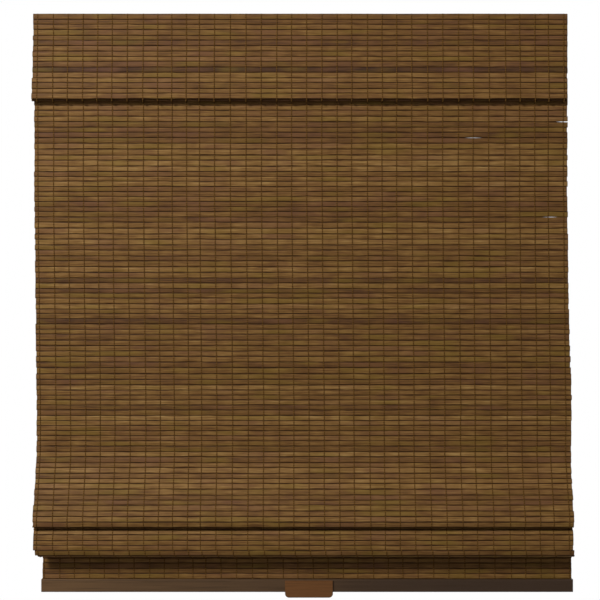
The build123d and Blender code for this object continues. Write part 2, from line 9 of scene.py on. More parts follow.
import bpy
import numpy as np
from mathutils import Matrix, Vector

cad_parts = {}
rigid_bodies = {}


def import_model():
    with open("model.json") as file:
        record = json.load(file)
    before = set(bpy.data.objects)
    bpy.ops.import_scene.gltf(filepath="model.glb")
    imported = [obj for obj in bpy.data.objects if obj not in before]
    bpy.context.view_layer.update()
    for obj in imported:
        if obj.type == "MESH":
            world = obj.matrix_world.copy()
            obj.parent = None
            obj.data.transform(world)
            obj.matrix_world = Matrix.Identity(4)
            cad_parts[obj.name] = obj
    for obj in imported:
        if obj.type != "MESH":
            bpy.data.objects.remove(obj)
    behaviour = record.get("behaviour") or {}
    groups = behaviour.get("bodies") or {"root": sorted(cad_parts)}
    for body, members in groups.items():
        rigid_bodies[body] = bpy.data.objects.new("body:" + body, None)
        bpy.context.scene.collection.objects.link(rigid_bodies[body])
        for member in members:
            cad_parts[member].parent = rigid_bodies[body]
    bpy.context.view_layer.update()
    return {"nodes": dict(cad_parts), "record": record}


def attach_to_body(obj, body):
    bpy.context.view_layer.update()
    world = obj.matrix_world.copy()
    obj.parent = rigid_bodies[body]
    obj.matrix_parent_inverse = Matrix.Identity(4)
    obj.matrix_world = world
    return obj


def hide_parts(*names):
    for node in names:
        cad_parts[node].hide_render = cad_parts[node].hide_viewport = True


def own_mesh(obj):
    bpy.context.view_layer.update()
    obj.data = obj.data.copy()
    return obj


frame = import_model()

log = logging.getLogger("bamboo_roman_shade")

# A point of the side section: how far ahead of the mat and how deep below its top, in mm.
Point = tuple[float, float]

MM = 0.001
TINY = 1e-6
# Length of one band of the wave texture, in its own units.
WAVE_PERIOD = 6.28

# Places taken from the solids, in mm: the room side face of the hung mat, the
# top of the mat, the lift cords' plane, the lift shaft and the cord columns.
FRONT_Y = -44.0
MAT_TOP_Z = 18.0
CORD_Y = -36.5
SHAFT_Y = -25.8
COLUMN_X = (-330.0, 0.0, 330.0)
ROW_DEPTHS = (165.0, 357.0, 549.0, 741.0)
FOLD_TOP = 735.0
KNOT_Z = -966.0
SPOOL_R = 10.0
CORD_R = 0.7


# Small helpers

def linear(code: str) -> tuple[float, float, float, float]:
    """Turn an sRGB hex colour into the linear colour that shaders take.

    Args:
        code: six hex digits, with or without a leading #.

    Returns:
        Red, green, blue and an alpha of 1.
    """
    code = code.lstrip("#")
    values = []
    for i in (0, 2, 4):
        value = int(code[i:i + 2], 16) / 255
        values.append(value / 12.92 if value <= 0.04045 else ((value + 0.055) / 1.055) ** 2.4)
    return (values[0], values[1], values[2], 1.0)


def feed(tree: bpy.types.NodeTree, node: bpy.types.Node, links: dict) -> None:
    """Link or set the inputs of a node.

    Args:
        tree: the node's tree.
        node: the node to feed.
        links: input name or index to a socket, a node (its first output) or a value.
    """
    for key, value in links.items():
        if isinstance(value, bpy.types.Node):
            value = next(o for o in value.outputs if o.enabled)
        if isinstance(value, bpy.types.NodeSocket):
            tree.links.new(value, node.inputs[key])
        else:
            node.inputs[key].default_value = value


def add(tree: bpy.types.NodeTree, kind: str, links: dict | None = None, **settings) -> bpy.types.Node:
    """Add one node with its settings, fixed inputs and links.

    Args:
        tree: the node tree to add to.
        kind: the node's type name.
        links: what feeds its inputs, as feed takes it.
        settings: attributes of the node, set before its inputs; stops are a ramp's
            pairs of position and sRGB hex colour.

    Returns:
        The new node.
    """
    new = tree.nodes.new(kind)
    stops = settings.pop("stops", ())
    for name, value in settings.items():
        setattr(new, name, value)
    for place, code in stops[2:]:
        new.color_ramp.elements.new(place)
    for element, (place, code) in zip(new.color_ramp.elements if stops else (), stops):
        element.position, element.color = place, linear(code)
    feed(tree, new, links or {})
    return new


def out(source: bpy.types.Node, name: str) -> bpy.types.NodeSocket:
    """Give the enabled output of a node with that name."""
    return next(o for o in source.outputs if o.name == name and o.enabled)


def new_material(name: str) -> tuple[bpy.types.Material, bpy.types.NodeTree, bpy.types.Node]:
    """Start a node material.

    Args:
        name: the material's name.

    Returns:
        The material, its node tree and its shader.
    """
    material = bpy.data.materials.new(name)
    material.use_nodes = True
    tree = material.node_tree
    return material, tree, tree.nodes["Principled BSDF"]


def mesh_object(name: str, points: Sequence, edges: Sequence = (), faces: Sequence = ()) -> bpy.types.Object:
    """Link a new mesh into the scene as an object at the origin.

    Args:
        name: the object's name.
        points: its points in metres.
        edges: pairs of point numbers.
        faces: loops of point numbers.

    Returns:
        The new object.
    """
    mesh = bpy.data.meshes.new(name)
    mesh.from_pydata(points, edges, faces)
    thing = bpy.data.objects.new(name, mesh)
    bpy.context.scene.collection.objects.link(thing)
    return thing


def bake_modifier(thing: bpy.types.Object) -> None:
    """Turn an object's evaluated node result into its plain mesh.

    Args:
        thing: the object, with its node modifier still on it.
    """
    bpy.context.view_layer.update()
    graph = bpy.context.evaluated_depsgraph_get()
    mesh = bpy.data.meshes.new_from_object(
        thing.evaluated_get(graph), preserve_all_data_layers=True, depsgraph=graph)
    thing.modifiers.clear()
    old = thing.data
    thing.data = mesh
    bpy.data.meshes.remove(old)
    mesh.name = thing.name


def shade_smooth(thing: bpy.types.Object) -> None:
    """Shade every face of an object smooth."""
    thing.data.polygons.foreach_set("use_smooth", [True] * len(thing.data.polygons))


def attach(piece: bpy.types.Object, body: str, node: str) -> None:
    """Hang a piece on its body, in place of a node of the solids, and report it.

    Args:
        piece: the finished piece.
        body: the body it rides on.
        node: the node that it replaces.
    """
    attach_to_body(piece, body)
    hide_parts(node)
    log.info("%s: %d faces, rides on %s", piece.name, len(piece.data.polygons), body)


def smooth_curve(points: Sequence[Point], steps: int = 24) -> list[Point]:
    """Run a dense smooth curve through points, as the solid's centre line does.

    Args:
        points: the points to run through.
        steps: how many points each span gets.

    Returns:
        The dense curve.
    """
    dense = []
    for i in range(len(points) - 1):
        a, b, c = points[max(i - 1, 0)], points[i], points[i + 1]
        d = points[min(i + 2, len(points) - 1)]
        span = math.dist(b, c)
        before, after = max(math.dist(a, b), TINY), max(math.dist(c, d), TINY)
        start, end = [0.0, 0.0], [0.0, 0.0]
        for k in range(2):
            chord = (c[k] - b[k]) / span
            back = (b[k] - a[k]) / before if i else chord
            ahead = (d[k] - c[k]) / after if i < len(points) - 2 else chord
            start[k] = (back * span + chord * before) / (span + before) if i else chord
            end[k] = (chord * after + ahead * span) / (after + span)
        for j in range(steps):
            t = j / steps
            h0, h1 = 2 * t**3 - 3 * t**2 + 1, t**3 - 2 * t**2 + t
            h2, h3 = -2 * t**3 + 3 * t**2, t**3 - t**2
            dense.append(tuple(h0 * b[k] + h1 * span * start[k] + h2 * c[k] + h3 * span * end[k]
                               for k in range(2)))
    dense.append(tuple(points[-1]))
    return dense


# Finishes

class Tone(Enum):
    """Stain tones that one batch of split bamboo shows side by side."""

    PLUM = "#3b271b"
    BROWN = "#5b3d22"
    REED = "#725029"
    HONEY = "#8c6839"
    STRAW = "#b08d56"
    RUST = "#77503a"
    OLIVE = "#7a6224"
    # Dark stain along the slats' edges, also standing in as painted shade in the creases between them.
    STAIN = "#331b04"


@dataclass(frozen=True)
class StainedBamboo:
    """Split bamboo slats, stained by dipping and left matt."""

    # To the eye: long fibres, slats that differ in tone, and dark stain along their edges, which also paints
    # the shade in the creases between slats.
    # A step is how far a pattern changes from one slat to the next, a rise how often over a face.
    # Rust, olive and the dark slat edges: where the tint starts, where it is full and how strong it gets.
    name: str = "stained_split_bamboo"
    bay_mm: float = 31.0
    bay_step: float = 3.17
    bay_share: float = 0.38
    streak_mm: float = 42.0
    streak_step: float = 5.31
    fibres: float = 5.4
    cast_mm: float = 95.0
    cast_step: float = 1.93
    cast_rise: float = 0.4
    rust: tuple[float, float, float] = (0.54, 0.7, 0.38)
    olive: tuple[float, float, float] = (0.46, 0.30, 0.45)
    edge_dark_mm: float = 34.0
    edge_dark_step: float = 7.7
    edge_dark_rise: float = 2.0
    edge_dark_share: float = 0.26
    edge_dark: tuple[float, float, float] = (0.47, 0.56, 0.97)
    level: tuple[float, float] = (0.66, 1.6)
    stops: tuple[tuple[float, Tone], ...] = (
        (0.0, Tone.PLUM), (0.28, Tone.BROWN), (0.5, Tone.REED), (0.72, Tone.HONEY), (1.0, Tone.STRAW))
    roughness: float = 0.56
    specular: float = 0.12
    relief: float = 0.45
    relief_mm: float = 0.6

    def build(self) -> bpy.types.Material:
        """Build the material.

        Returns:
            The bamboo material, which reads the slats' own attributes.
        """
        material, tree, shader = new_material(self.name)
        place = add(tree, "ShaderNodeSeparateXYZ", {0: out(add(tree, "ShaderNodeTexCoord"), "Object")})
        local = add(tree, "ShaderNodeAttribute", attribute_name="local")
        across = add(tree, "ShaderNodeSeparateXYZ", {0: out(local, "Vector")})
        slat = add(tree, "ShaderNodeAttribute", attribute_name="slat")
        tone = add(tree, "ShaderNodeAttribute", attribute_name="tone")
        # Metres along the slat, the slat's number, and -0.5 to 0.5 over its face.
        space = add(tree, "ShaderNodeCombineXYZ", {
            0: place.outputs[0], 1: out(slat, "Fac"), 2: across.outputs[2]})

        def drawn_out(length_mm: float, step: float, rise: float, detail: float,
                      rough: float = 0.5) -> bpy.types.Node:
            """Add an uneven pattern, drawn out along the slats.

            Args:
                length_mm: its length along the slat.
                step: its step from slat to slat.
                rise: how often it changes over a slat's face.
                detail: how many finer layers it has.
                rough: how strong those layers are.

            Returns:
                The pattern's node.
            """
            spread = add(tree, "ShaderNodeMapping", {
                "Vector": space, "Scale": (1 / (length_mm * MM), step, rise)})
            return add(tree, "ShaderNodeTexNoise", {
                "Vector": spread, "Scale": 1.0, "Detail": detail, "Roughness": rough})

        # Tone changes a little from one thread bay to the next.
        slow = drawn_out(self.bay_mm, self.bay_step, 0.0, detail=1.0)
        # Fibres: long streaks, drawn coarser than real ones so that they show.
        fibre = drawn_out(self.streak_mm, self.streak_step, self.fibres, detail=4.0, rough=0.7)
        # Rare rust and olive stretches.
        cast = drawn_out(self.cast_mm, self.cast_step, self.cast_rise, detail=1.0)
        first = add(tree, "ShaderNodeMath", {0: slow, 1: self.bay_share, 2: out(tone, "Fac")},
                    operation="MULTIPLY_ADD")
        level = add(tree, "ShaderNodeMath", {0: fibre, 1: first}, operation="ADD")
        spread = add(tree, "ShaderNodeMapRange", {
            "Value": level, "From Min": self.level[0], "From Max": self.level[1]})
        base = add(tree, "ShaderNodeValToRGB", {"Fac": spread},
                   stops=[(spot, shade.value) for spot, shade in self.stops])
        rust, olive = [add(tree, "ShaderNodeMapRange", {
            "Value": cast, "From Min": low, "From Max": high, "To Max": most})
            for low, high, most in (self.rust, self.olive)]
        # Stain and painted crease shade darken the slat's long edges, more in some places than in others.
        edge = add(tree, "ShaderNodeMath", {0: across.outputs[2]}, operation="ABSOLUTE")
        edge_dark = drawn_out(self.edge_dark_mm, self.edge_dark_step, self.edge_dark_rise, detail=2.0)
        uneven = add(tree, "ShaderNodeMath", {0: edge_dark, 1: self.edge_dark_share, 2: edge},
                     operation="MULTIPLY_ADD")
        stain_and_crease_shade = add(tree, "ShaderNodeMapRange", {
            "Value": uneven, "From Min": self.edge_dark[0], "From Max": self.edge_dark[1], "To Max": self.edge_dark[2]})
        colour = base
        for share, tint in ((rust, Tone.RUST), (olive, Tone.OLIVE), (stain_and_crease_shade, Tone.STAIN)):
            colour = add(tree, "ShaderNodeMix", {0: share, 6: colour, 7: linear(tint.value)},
                         data_type="RGBA")
        feed(tree, shader, {
            "Base Color": colour, "Roughness": self.roughness, "Specular IOR Level": self.specular,
            "Normal": add(tree, "ShaderNodeBump", {
                "Height": fibre, "Strength": self.relief, "Distance": self.relief_mm * MM})})
        return material


@dataclass(frozen=True)
class TwistedThread:
    """Dyed thread or cord of several strands: cotton in the mat, polyester in the lift cords."""

    # To the eye: matt, with the slanting turns of its ply, light and dark.
    name: str = "dyed_cotton_thread"
    colour: str = "#553818"
    light: str = "#765528"
    ply_mm: float = 1.6
    slant: float = 35.0
    unevenness: float = 0.4
    stops: tuple[float, float] = (0.2, 0.9)
    roughness: float = 0.9
    specular: float = 0.06
    relief: float = 0.4
    relief_mm: float = 0.3

    def build(self) -> bpy.types.Material:
        """Build the material.

        Returns:
            The finished material.
        """
        material, tree, shader = new_material(self.name)
        place = add(tree, "ShaderNodeTexCoord")
        turned = add(tree, "ShaderNodeMapping", {
            "Vector": out(place, "Object"), "Rotation": (0, math.radians(self.slant), 0)})
        wave = add(tree, "ShaderNodeTexWave", {
            "Vector": turned, "Scale": 1 / (self.ply_mm * MM) / WAVE_PERIOD, "Distortion": self.unevenness},
            bands_direction="Z")
        colour = add(tree, "ShaderNodeValToRGB", {"Fac": wave},
                     stops=[*zip(self.stops, (self.colour, self.light))])
        feed(tree, shader, {
            "Base Color": colour, "Roughness": self.roughness, "Specular IOR Level": self.specular,
            "Normal": add(tree, "ShaderNodeBump", {
                "Height": wave, "Strength": self.relief, "Distance": self.relief_mm * MM})})
        return material


@dataclass(frozen=True)
class StainedWood:
    """Planed hardwood, stained and rubbed to a satin."""

    # To the eye: dark grain along the rail, drawn coarser than fine grain is so that it shows,
    # and a colour that runs from the left end's to the right end's, clouded a little; on the rail the paler
    # left end is painted sheen of the key lamp.
    name: str
    left: str
    right: str
    dark: str
    grain_mm: float = 2.4
    grain_along: float = 9.0
    cloud: float = 5.0
    cloud_share: float = 0.35
    middle: float = 0.17
    reach: float = 0.46
    full: float = 0.75
    streak: tuple[float, float, float] = (0.45, 0.68, 0.6)
    roughness: float = 0.46
    specular: float = 0.16
    relief: float = 0.18
    relief_mm: float = 0.3

    def build(self) -> bpy.types.Material:
        """Build the material.

        Returns:
            The finished material.
        """
        material, tree, shader = new_material(self.name)
        place = out(add(tree, "ShaderNodeTexCoord"), "Object")
        grain = add(tree, "ShaderNodeTexNoise", {
            "Vector": add(tree, "ShaderNodeMapping", {
                "Vector": place,
                "Scale": (self.grain_along, 1 / (self.grain_mm * MM), 1 / (self.grain_mm * MM))}),
            "Scale": 1.0, "Detail": 4.0, "Roughness": 0.6})
        broad = add(tree, "ShaderNodeTexNoise", {"Vector": place, "Scale": self.cloud, "Detail": 2.0})
        run = add(tree, "ShaderNodeMath", {
            0: broad, 1: self.cloud_share, 2: add(tree, "ShaderNodeSeparateXYZ", {0: place})},
            operation="MULTIPLY_ADD")
        # Left end's colour to right end's: on the rail, painted sheen that makes the left end paler.
        stain_and_sheen = add(tree, "ShaderNodeValToRGB", {
            "Fac": add(tree, "ShaderNodeMapRange", {
                "Value": run, "From Min": self.middle - self.reach, "From Max": self.middle + self.reach})},
            stops=[(0.0, self.left), (self.full, self.right)])
        streak = add(tree, "ShaderNodeMapRange", {
            "Value": grain, "From Min": self.streak[0], "From Max": self.streak[1],
            "To Max": self.streak[2]})
        colour = add(tree, "ShaderNodeMix", {0: streak, 6: stain_and_sheen, 7: linear(self.dark)}, data_type="RGBA")
        feed(tree, shader, {
            "Base Color": colour, "Roughness": self.roughness, "Specular IOR Level": self.specular,
            "Normal": add(tree, "ShaderNodeBump", {
                "Height": grain, "Strength": self.relief, "Distance": self.relief_mm * MM})})
        return material


@dataclass(frozen=True)
class Moulded:
    """Moulded plastic, enamel or woven tape: a plain surface of one colour."""

    # To the eye: one even colour with slight mottling, and a fine skin of mould, coat or weave.
    name: str
    colour: str
    shade: str
    grit_mm: float = 0.8
    mottle: float = 14.0
    stops: tuple[float, float] = (0.35, 0.62)
    roughness: float = 0.5
    polish: tuple[float, float] = (-0.06, 0.08)
    relief: float = 0.12
    relief_mm: float = 0.2

    def build(self) -> bpy.types.Material:
        """Build the material.

        Returns:
            The finished material.
        """
        material, tree, shader = new_material(self.name)
        place = out(add(tree, "ShaderNodeTexCoord"), "Object")
        fine = add(tree, "ShaderNodeTexNoise", {
            "Vector": place, "Scale": 1 / (self.grit_mm * MM), "Detail": 2.0})
        broad = add(tree, "ShaderNodeTexNoise", {"Vector": place, "Scale": self.mottle, "Detail": 3.0})
        feed(tree, shader, {
            "Base Color": add(tree, "ShaderNodeValToRGB", {"Fac": broad},
                              stops=[*zip(self.stops, (self.shade, self.colour))]),
            "Roughness": add(tree, "ShaderNodeMapRange", {
                "Value": fine, "To Min": self.roughness + self.polish[0],
                "To Max": self.roughness + self.polish[1]}),
            "Normal": add(tree, "ShaderNodeBump", {
                "Height": fine, "Strength": self.relief, "Distance": self.relief_mm * MM})})
        return material


@dataclass(frozen=True)
class DrawnSteel:
    """Drawn steel, zinc plated."""

    # To the eye: a bright cool metal with fine lines along the part.
    name: str = "zinc_plated_steel"
    colour: str = "#a9abad"
    shade: str = "#8b8d90"
    line_mm: float = 0.5
    line_along: float = 12.0
    stops: tuple[float, float] = (0.3, 0.7)
    roughness: float = 0.36
    polish: tuple[float, float] = (-0.08, 0.1)

    def build(self) -> bpy.types.Material:
        """Build the material.

        Returns:
            The finished material.
        """
        material, tree, shader = new_material(self.name)
        stretch = add(tree, "ShaderNodeMapping", {
            "Vector": out(add(tree, "ShaderNodeTexCoord"), "Object"),
            "Scale": (self.line_along, 1 / (self.line_mm * MM), 1 / (self.line_mm * MM))})
        lines = add(tree, "ShaderNodeTexNoise", {"Vector": stretch, "Scale": 1.0, "Detail": 2.0})
        feed(tree, shader, {
            "Metallic": 1.0,
            "Base Color": add(tree, "ShaderNodeValToRGB", {"Fac": lines},
                              stops=[*zip(self.stops, (self.shade, self.colour))]),
            "Roughness": add(tree, "ShaderNodeMapRange", {
                "Value": lines, "To Min": self.roughness + self.polish[0],
                "To Max": self.roughness + self.polish[1]})})
        return material


class Finishes:
    """The finishes of the whole shade, built once."""

    def __init__(self) -> None:
        """Build every material."""
        # Brown slats, no two of one tone.
        self.bamboo = StainedBamboo().build()
        # Dark matt lines down the mat.
        self.thread = TwistedThread().build()
        # A dark satin brown, painted paler towards the left end as sheen from the key lamp.
        self.rail = StainedWood("dark_stained_hardwood", "#6e5338", "#423226", "#3d2d1e").build()
        # One warm brown, redder than the rail that it sits on.
        self.tab = StainedWood("warm_stained_hardwood", "#744c2a", "#744c2a", "#56371d").build()
        # A warm white with a soft shine.
        self.channel = Moulded("enamelled_steel", "#d9d5cb", "#cfcabf", roughness=0.38).build()
        # A warm white that is duller than the enamel.
        self.plastic = Moulded("moulded_white_plastic", "#dedbd3", "#d2cec4").build()
        # Tan, close to the bamboo, so that the rings don't stand out.
        self.ring = Moulded("moulded_tan_plastic", "#b39a75", "#9c845f").build()
        # Lighter than the threads, its braid drawn coarser than it is so that it shows.
        self.cord = TwistedThread("braided_polyester_cord", "#7c6648", "#a58c66", ply_mm=2.2).build()
        # Off-white and quite matt, with the roughness of a weave.
        self.tape = Moulded("woven_polyester_tape", "#d8d3c6", "#c2bcae", grit_mm=1.2, roughness=0.9,
                            relief=0.5).build()
        # Bright and cool beside the enamel and the plastic.
        self.steel = DrawnSteel().build()


# Woven mat

@dataclass
class Slat:
    """One slat: its two long edges, both ends in mm across, its tone and its number."""

    upper: Point
    lower: Point
    left: float
    right: float
    tone: float
    number: int


@dataclass
class Stretch:
    """A run of slats and thread that moves as one piece."""

    # The line holds the joints that the threads follow, and drift is each joint's place across.
    # Half a pleat has a point that holds still, and 1 for its upper half or -1 for its lower one.
    name: str
    body: str
    slats: list[Slat]
    line: list[Point]
    drift: list[float]
    squash_at: Point | None = None
    squash_to: float = 0.0


@dataclass(frozen=True)
class Slit:
    """A spot where two slats stand apart and daylight shows, in mm across and down."""

    across: float
    depth: float
    length: float
    width: float


@dataclass
class Weave:
    """Sizes of the weave in mm and the builders of its node trees."""

    thickness: float = 2.4
    segments: int = 36
    sides: int = 14
    # How far from the middle the last ring of a bar stands, as a share of its length.
    last_ring: float = 0.499
    # Powers that turn a round bar into a slat with eased edges: through it and across its face.
    ease: tuple[float, float] = (0.75, 0.62)
    # A face counts as an end where its normal points this much along the slat.
    end_facing: float = 0.7
    # A slat strays this much from straight; scale is per metre of its length, step per slat.
    wander: float = 0.42
    wander_scale: float = 9.0
    wander_step: float = 5.7
    seed: float = 7.0
    lap: float = 0.5
    thread_radius: float = 0.85
    thread_sides: int = 5
    thread_places: tuple[int, ...] = (
        -451, -424, -399, -373, -348, -323, -297, -270, -245, -221, -196, -174, -148, -121, -94, -68, -41,
        -16, 10, 36, 62, 87, 114, 139, 164, 190, 217, 243, 270, 295, 322, 350, 375, 401, 424, 450)
    # How far a thread lies off the slats' middle plane in a joint, and off their face at its crown.
    dip: float = 0.28
    crown: float = 0.14
    # How far from a joint the thread's shoulder is, and how much lower than its crown.
    shoulder: tuple[float, float] = (1.5, 0.12)
    # A span shorter than this has no crown.
    shortest: float = 4.0
    # A thread strays this much sideways; scale is per metre of its height, step per thread.
    wobble: float = 2.4
    wobble_scale: float = 14.0
    wobble_step: float = 3.3
    thread_seed: float = 3.0
    slits: tuple[Slit, ...] = (
        Slit(456.0, 185.0, 14.0, 1.5), Slit(296.0, 211.0, 8.0, 0.4), Slit(424.0, 353.0, 40.0, 0.45))
    # How far the slats beside a slit bend with it, and how full its ends are.
    slit_reach: float = 8.0
    slit_fullness: float = 1.25
    slat_tree: bpy.types.NodeTree = field(init=False)
    thread_tree: bpy.types.NodeTree = field(init=False)

    def __post_init__(self) -> None:
        """Build both trees."""
        self.slat_tree = self.make_slat_tree()
        self.thread_tree = self.make_thread_tree()

    @staticmethod
    def sockets(tree: bpy.types.NodeTree, inputs: dict[str, str]) -> None:
        """Give a tree its geometry sockets and named inputs.

        Args:
            tree: the tree.
            inputs: input name to socket type.
        """
        tree.interface.new_socket("Geometry", in_out="INPUT", socket_type="NodeSocketGeometry")
        for name, kind in inputs.items():
            tree.interface.new_socket(name, in_out="INPUT", socket_type=kind)
        tree.interface.new_socket("Geometry", in_out="OUTPUT", socket_type="NodeSocketGeometry")

    def make_slat_tree(self) -> bpy.types.NodeTree:
        """Make the tree that puts one eased slat on each point.

        Returns:
            The tree; its points carry turn, extent, across, slat and tone.
        """
        tree = bpy.data.node_groups.new("slats_on_points", "GeometryNodeTree")
        self.sockets(tree, {
            "Segments": "NodeSocketInt", "Sides": "NodeSocketInt", "Wander": "NodeSocketFloat",
            "Wander Scale": "NodeSocketFloat", "Seed": "NodeSocketFloat", "Finish": "NodeSocketMaterial"})
        given = add(tree, "NodeGroupInput").outputs
        bar = add(tree, "GeometryNodeMeshCylinder", {
            "Vertices": given["Sides"], "Side Segments": given["Segments"], "Radius": 1.0, "Depth": 1.0})
        lying = add(tree, "GeometryNodeTransform", {
            "Geometry": bar.outputs["Mesh"], "Rotation": (0, math.pi / 2, 0)})
        spot = add(tree, "ShaderNodeSeparateXYZ", {0: add(tree, "GeometryNodeInputPosition")})

        def eased(socket: bpy.types.NodeSocket, power: float) -> bpy.types.Node:
            """Flatten one direction of the round bar and leave its edges eased.

            Args:
                socket: the direction's place on a bar of radius 1.
                power: under 1 for fuller corners.

            Returns:
                The node with the new place, from -0.5 to 0.5.
            """
            size = add(tree, "ShaderNodeMath", {0: socket}, operation="ABSOLUTE")
            grown = add(tree, "ShaderNodeMath", {0: size, 1: power}, operation="POWER")
            way = add(tree, "ShaderNodeMath", {0: socket}, operation="SIGN")
            both = add(tree, "ShaderNodeMath", {0: grown, 1: way}, operation="MULTIPLY")
            return add(tree, "ShaderNodeMath", {0: both, 1: 0.5}, operation="MULTIPLY")

        # The last ring stands a millimetre from the end, so that only the end shades as rounded.
        longer = add(tree, "ShaderNodeMath", {
            0: spot.outputs[0], 1: self.last_ring / (0.5 - 1 / self.segments)}, operation="MULTIPLY")
        along = add(tree, "ShaderNodeClamp", {"Value": longer, "Min": -0.5, "Max": 0.5})
        shape = add(tree, "ShaderNodeCombineXYZ", {
            0: along, 1: eased(spot.outputs[1], self.ease[0]), 2: eased(spot.outputs[2], self.ease[1])})
        eased_bar = add(tree, "GeometryNodeSetPosition", {"Geometry": lying, "Position": shape})
        facing = add(tree, "ShaderNodeSeparateXYZ", {0: add(tree, "GeometryNodeInputNormal")})
        size = add(tree, "ShaderNodeMath", {0: facing.outputs[0]}, operation="ABSOLUTE")
        side = add(tree, "ShaderNodeMath", {0: size, 1: self.end_facing}, operation="LESS_THAN")
        soft = add(tree, "GeometryNodeSetShadeSmooth", {
            "Geometry": eased_bar, "Selection": side, "Shade Smooth": True})
        marked = add(tree, "GeometryNodeStoreNamedAttribute", {
            "Geometry": soft, "Name": "local", "Value": add(tree, "GeometryNodeInputPosition")},
            data_type="FLOAT_VECTOR", domain="POINT")
        turn, slat = [add(tree, "GeometryNodeInputNamedAttribute", {"Name": name}, data_type="FLOAT")
                      for name in ("turn", "slat")]
        extent, across = [
            add(tree, "GeometryNodeInputNamedAttribute", {"Name": name}, data_type="FLOAT_VECTOR")
            for name in ("extent", "across")]
        placed = add(tree, "GeometryNodeInstanceOnPoints", {
            "Points": given["Geometry"], "Instance": marked,
            "Rotation": add(tree, "ShaderNodeCombineXYZ", {0: turn}), "Scale": extent})
        real = add(tree, "GeometryNodeRealizeInstances", {"Geometry": placed})
        where = add(tree, "ShaderNodeSeparateXYZ", {0: add(tree, "GeometryNodeInputPosition")})
        far = add(tree, "ShaderNodeMath", {0: where, 1: given["Wander Scale"]}, operation="MULTIPLY")
        own = add(tree, "ShaderNodeMath", {0: slat, 1: self.wander_step}, operation="MULTIPLY")
        noise = add(tree, "ShaderNodeTexNoise", {
            "Vector": add(tree, "ShaderNodeCombineXYZ", {0: far, 1: own, 2: given["Seed"]}),
            "Scale": 1.0, "Detail": 2.0})
        centred = add(tree, "ShaderNodeMath", {0: noise, 1: 0.5}, operation="SUBTRACT")
        amount = add(tree, "ShaderNodeMath", {0: centred, 1: given["Wander"]}, operation="MULTIPLY")
        doubled = add(tree, "ShaderNodeMath", {0: amount, 1: 2.0}, operation="MULTIPLY")
        push = add(tree, "ShaderNodeVectorMath", {0: across, "Scale": doubled}, operation="SCALE")
        moved = add(tree, "GeometryNodeSetPosition", {"Geometry": real, "Offset": push})
        dressed = add(tree, "GeometryNodeSetMaterial", {"Geometry": moved, "Material": given["Finish"]})
        add(tree, "NodeGroupOutput", {"Geometry": dressed})
        return tree

    def make_thread_tree(self) -> bpy.types.NodeTree:
        """Make the tree that puts one thread line on each point and rounds it to a tube.

        Returns:
            The tree; its points are the threads' places across the mat.
        """
        tree = bpy.data.node_groups.new("threads_on_points", "GeometryNodeTree")
        self.sockets(tree, {
            "Line": "NodeSocketObject", "Radius": "NodeSocketFloat", "Sides": "NodeSocketInt",
            "Wobble": "NodeSocketFloat", "Seed": "NodeSocketFloat", "Finish": "NodeSocketMaterial"})
        given = add(tree, "NodeGroupInput").outputs
        line = add(tree, "GeometryNodeObjectInfo", {"Object": given["Line"]})
        number = add(tree, "GeometryNodeStoreNamedAttribute", {
            "Geometry": given["Geometry"], "Name": "thread", "Value": add(tree, "GeometryNodeInputIndex")},
            data_type="FLOAT", domain="POINT")
        placed = add(tree, "GeometryNodeInstanceOnPoints", {
            "Points": number, "Instance": out(line, "Geometry")})
        kept = add(tree, "GeometryNodeRealizeInstances", {"Geometry": placed})
        curves = add(tree, "GeometryNodeMeshToCurve", {"Mesh": kept})
        own = add(tree, "GeometryNodeInputNamedAttribute", {"Name": "thread"}, data_type="FLOAT")
        where = add(tree, "ShaderNodeSeparateXYZ", {0: add(tree, "GeometryNodeInputPosition")})
        spot = add(tree, "ShaderNodeCombineXYZ", {
            0: add(tree, "ShaderNodeMath", {0: own, 1: self.wobble_step}, operation="MULTIPLY"),
            1: given["Seed"],
            2: add(tree, "ShaderNodeMath", {
                0: where.outputs[2], 1: self.wobble_scale}, operation="MULTIPLY")})
        noise = add(tree, "ShaderNodeTexNoise", {"Vector": spot, "Scale": 1.0, "Detail": 3.0})
        centred = add(tree, "ShaderNodeMath", {0: noise, 1: 0.5}, operation="SUBTRACT")
        sway = add(tree, "ShaderNodeMath", {0: centred, 1: given["Wobble"]}, operation="MULTIPLY")
        moved = add(tree, "GeometryNodeSetPosition", {
            "Geometry": curves, "Offset": add(tree, "ShaderNodeCombineXYZ", {0: sway})})
        section = add(tree, "GeometryNodeCurvePrimitiveCircle", {
            "Resolution": given["Sides"], "Radius": given["Radius"]})
        tube = add(tree, "GeometryNodeCurveToMesh", {
            "Curve": moved, "Profile Curve": out(section, "Curve"), "Fill Caps": True})
        real = add(tree, "GeometryNodeRealizeInstances", {"Geometry": tube})
        dressed = add(tree, "GeometryNodeSetMaterial", {"Geometry": real, "Material": given["Finish"]})
        add(tree, "NodeGroupOutput", {"Geometry": dressed})
        return tree

    @staticmethod
    def run(thing: bpy.types.Object, tree: bpy.types.NodeTree, values: dict[str, object]) -> None:
        """Run a tree on an object and keep the result as its mesh.

        Args:
            thing: the object that carries the points or line.
            tree: the tree to run.
            values: input name to value.
        """
        modifier = thing.modifiers.new("weave", "NODES")
        modifier.node_group = tree
        names = {item.name: item.identifier for item in tree.interface.items_tree
                 if item.item_type == "SOCKET" and item.in_out == "INPUT"}
        for name, value in values.items():
            modifier[names[name]] = value
        bake_modifier(thing)

